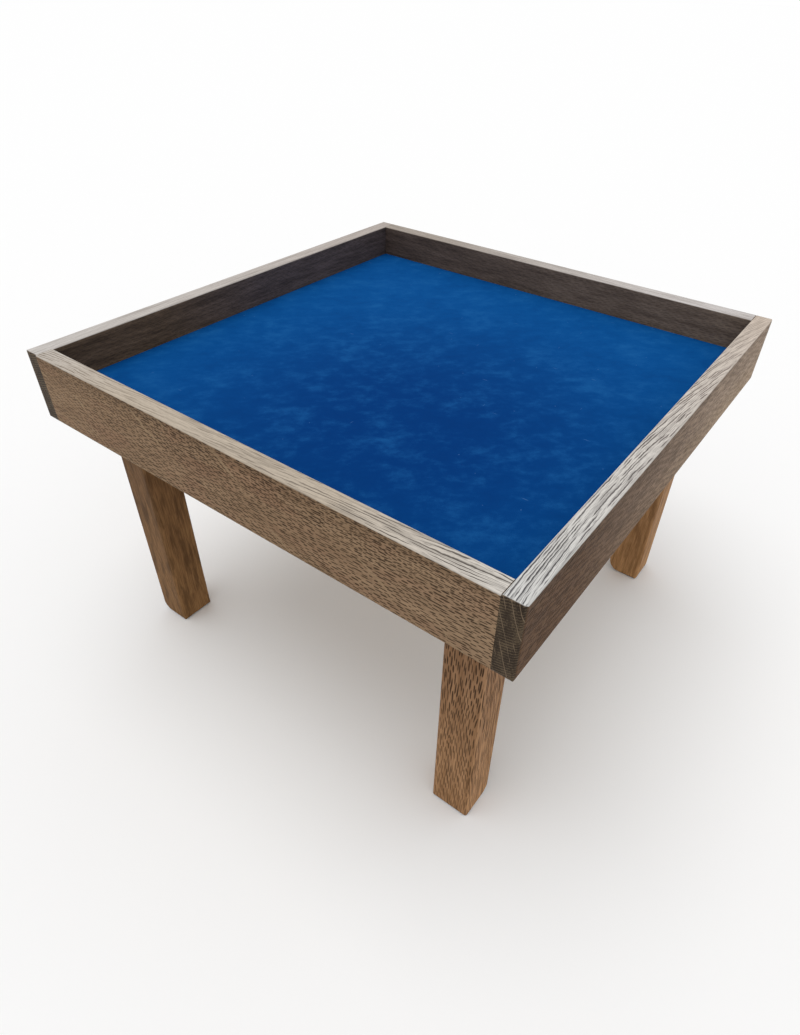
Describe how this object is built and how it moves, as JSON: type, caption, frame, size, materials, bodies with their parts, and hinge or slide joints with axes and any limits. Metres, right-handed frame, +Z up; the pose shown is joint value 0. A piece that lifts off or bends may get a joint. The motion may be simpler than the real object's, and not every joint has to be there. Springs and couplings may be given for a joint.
{
  "type": "dice tray",
  "caption": "Square oak dice tray with a sunken velvet-lined rolling well, raised on square legs that unscrew from under its base.",
  "frame": {"origin": "on the floor, under the centre of the tray", "axes": "+X to the right along the front rail, +Y to the back, +Z up"},
  "size_m": [0.38, 0.38, 0.25],
  "materials": {
    "oak_rails": "oiled open-pored oak, inner faces stained dark brown",
    "oak_legs": "oiled open-pored oak, warmer than the rails",
    "softwood": "bare planed strip",
    "plywood": "bare birch plywood",
    "beech": "bare dowel",
    "velvet": "royal blue short-pile velvet",
    "zinc_steel": "bright zinc",
    "yellow_zinc": "yellow zinc"
  },
  "bodies": {
    "tray": {"rail_front": "oak_rails", "rail_back": "oak_rails", "rail_left": "oak_rails", "rail_right": "oak_rails", "cleat_front": "softwood", "cleat_back": "softwood", "cleat_left": "softwood", "cleat_right": "softwood", "base_panel": "plywood", "velvet_lining": "velvet", "t_nuts": "zinc_steel", "corner_dowels": "beech", "cleat_screws": "yellow_zinc", "panel_screws": "yellow_zinc"},
    "front_left_bolt": {"hanger_bolt_front_left": "zinc_steel"},
    "front_left_leg": {"leg_front_left": "oak_legs"},
    "front_right_bolt": {"hanger_bolt_front_right": "zinc_steel"},
    "front_right_leg": {"leg_front_right": "oak_legs"},
    "back_left_bolt": {"hanger_bolt_back_left": "zinc_steel"},
    "back_left_leg": {"leg_back_left": "oak_legs"},
    "back_right_bolt": {"hanger_bolt_back_right": "zinc_steel"},
    "back_right_leg": {"leg_back_right": "oak_legs"}
  },
  "joints": [
    {"name": "front_left_leg_lower", "type": "slide", "parent": "tray", "child": "front_left_bolt", "axis": [0, 0, -1], "range_m": [0, 0.008]},
    {"name": "front_left_leg_turn", "type": "hinge", "parent": "front_left_bolt", "child": "front_left_leg", "pos_m": [-0.14804, -0.14804, 0.2145], "axis": [0, 0, -1], "range_deg": [0, 2304]},
    {"name": "front_right_leg_lower", "type": "slide", "parent": "tray", "child": "front_right_bolt", "axis": [0, 0, -1], "range_m": [0, 0.008]},
    {"name": "front_right_leg_turn", "type": "hinge", "parent": "front_right_bolt", "child": "front_right_leg", "pos_m": [0.14804, -0.14804, 0.2145], "axis": [0, 0, -1], "range_deg": [0, 2304]},
    {"name": "back_left_leg_lower", "type": "slide", "parent": "tray", "child": "back_left_bolt", "axis": [0, 0, -1], "range_m": [0, 0.008]},
    {"name": "back_left_leg_turn", "type": "hinge", "parent": "back_left_bolt", "child": "back_left_leg", "pos_m": [-0.14804, 0.14804, 0.2145], "axis": [0, 0, -1], "range_deg": [0, 2304]},
    {"name": "back_right_leg_lower", "type": "slide", "parent": "tray", "child": "back_right_bolt", "axis": [0, 0, -1], "range_m": [0, 0.008]},
    {"name": "back_right_leg_turn", "type": "hinge", "parent": "back_right_bolt", "child": "back_right_leg", "pos_m": [0.14804, 0.14804, 0.2145], "axis": [0, 0, -1], "range_deg": [0, 2304]}
  ],
  "couplings": [
    {"joint": "front_left_leg_turn", "follows": "front_left_leg_lower", "rad_per_m": 5026.5},
    {"joint": "front_right_leg_turn", "follows": "front_right_leg_lower", "rad_per_m": 5026.5},
    {"joint": "back_left_leg_turn", "follows": "back_left_leg_lower", "rad_per_m": 5026.5},
    {"joint": "back_right_leg_turn", "follows": "back_right_leg_lower", "rad_per_m": 5026.5}
  ]
}
